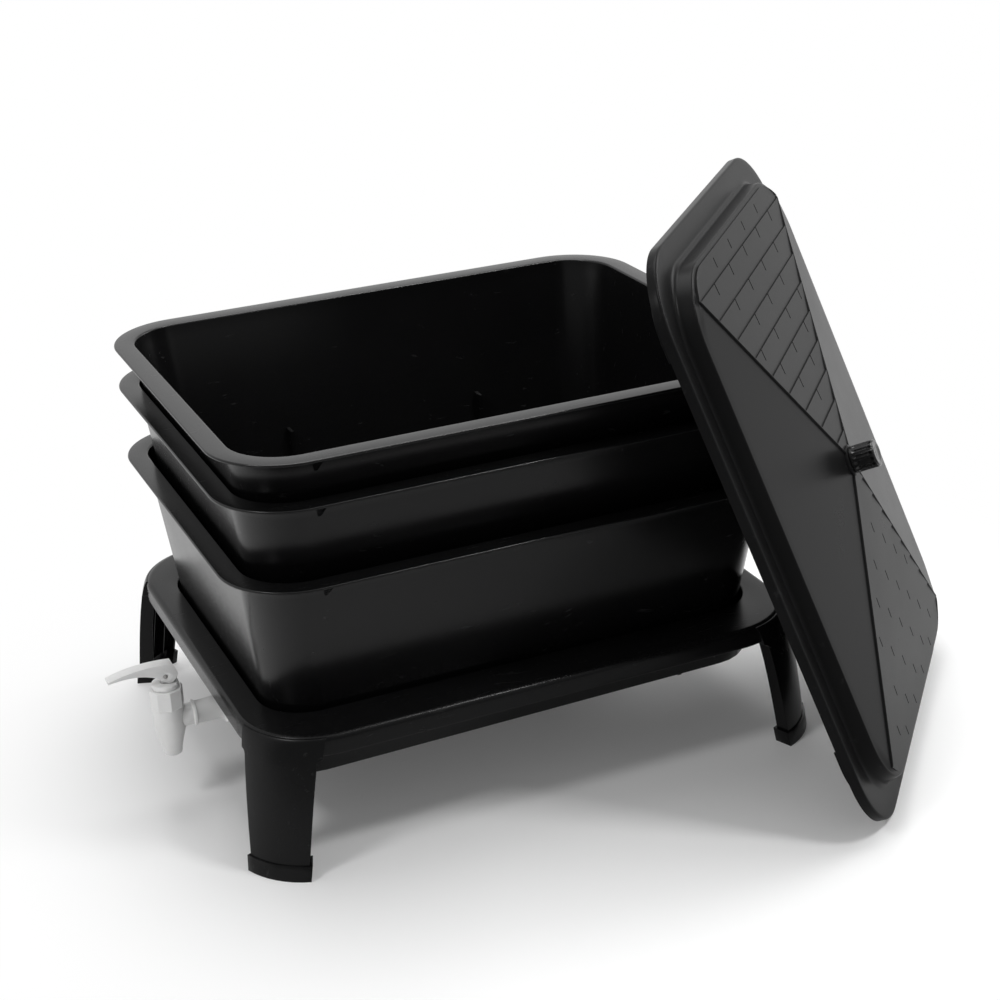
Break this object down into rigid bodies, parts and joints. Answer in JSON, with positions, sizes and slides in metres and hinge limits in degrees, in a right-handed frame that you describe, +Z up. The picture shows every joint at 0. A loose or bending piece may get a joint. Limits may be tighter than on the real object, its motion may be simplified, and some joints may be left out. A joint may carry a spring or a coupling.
{
  "type": "wormery",
  "caption": "Worm composter: nested tapered trays in a legged stand with a collector basin and lever tap, its hipped shingled lid leaning against the top tray.",
  "frame": {"origin": "on the floor, under the middle of the whole object as it stands, lid included", "axes": "+Z up, +X along the trays' long side away from the tap, +Y from the front to the back"},
  "size_m": [0.9088, 0.6862, 0.5441],
  "materials": {
    "tray_black": "gloss moulded polypropylene",
    "stand_black": "semi-gloss moulded polypropylene",
    "lid_black": "satin moulded polypropylene",
    "tap_white": "semi-gloss moulded plastic",
    "seal_rubber": "matt rubber",
    "steel": "plain steel"
  },
  "bodies": {
    "stand_body": {"stand": "stand_black", "foot_cap_back_right": "stand_black", "foot_cap_back_left": "stand_black", "foot_cap_front_left": "stand_black", "foot_cap_front_right": "stand_black", "collector_basin": "stand_black", "tap_body": "tap_white", "tap_seal_washer": "seal_rubber", "tap_nut_washer": "seal_rubber", "tap_backnut": "tap_white", "tap_bonnet": "tap_white"},
    "bottom_tray_body": {"tray_bottom": "tray_black"},
    "middle_tray_body": {"tray_middle": "tray_black"},
    "top_tray_body": {"tray_top": "tray_black"},
    "lid_body": {"lid_shell": "lid_black", "lid_knob": "lid_black", "lid_knob_screw": "steel"},
    "tap_stem_body": {"tap_stem": "tap_white", "tap_plunger_seal": "seal_rubber", "tap_piston_seal": "seal_rubber", "tap_pin": "steel"},
    "tap_lever_body": {"tap_lever": "tap_white"}
  },
  "joints": [
    {"name": "bottom_tray_lift", "type": "slide", "parent": "stand_body", "child": "bottom_tray_body", "axis": [0, 0, 1], "range_m": [0, 0.15]},
    {"name": "middle_tray_lift", "type": "slide", "parent": "bottom_tray_body", "child": "middle_tray_body", "axis": [0, 0, 1], "range_m": [0, 0.17]},
    {"name": "top_tray_lift", "type": "slide", "parent": "middle_tray_body", "child": "top_tray_body", "axis": [0, 0, 1], "range_m": [0, 0.2]},
    {"name": "lid_lift_off", "type": "slide", "parent": "top_tray_body", "child": "lid_body", "axis": [0.6855, -0.6194, 0.3827], "range_m": [0, 0.25]},
    {"name": "tap_stem_lift", "type": "slide", "parent": "stand_body", "child": "tap_stem_body", "axis": [0, 0, 1], "range_m": [0, 0.004]},
    {"name": "tap_lever_flip", "type": "hinge", "parent": "tap_stem_body", "child": "tap_lever_body", "pos_m": [-0.39935, 0.03545, 0.1426], "axis": [0, 1, 0], "range_deg": [0, 85]}
  ],
  "couplings": [
    {"joint": "tap_stem_lift", "follows": "tap_lever_flip", "m_per_rad": 0.002696}
  ]
}
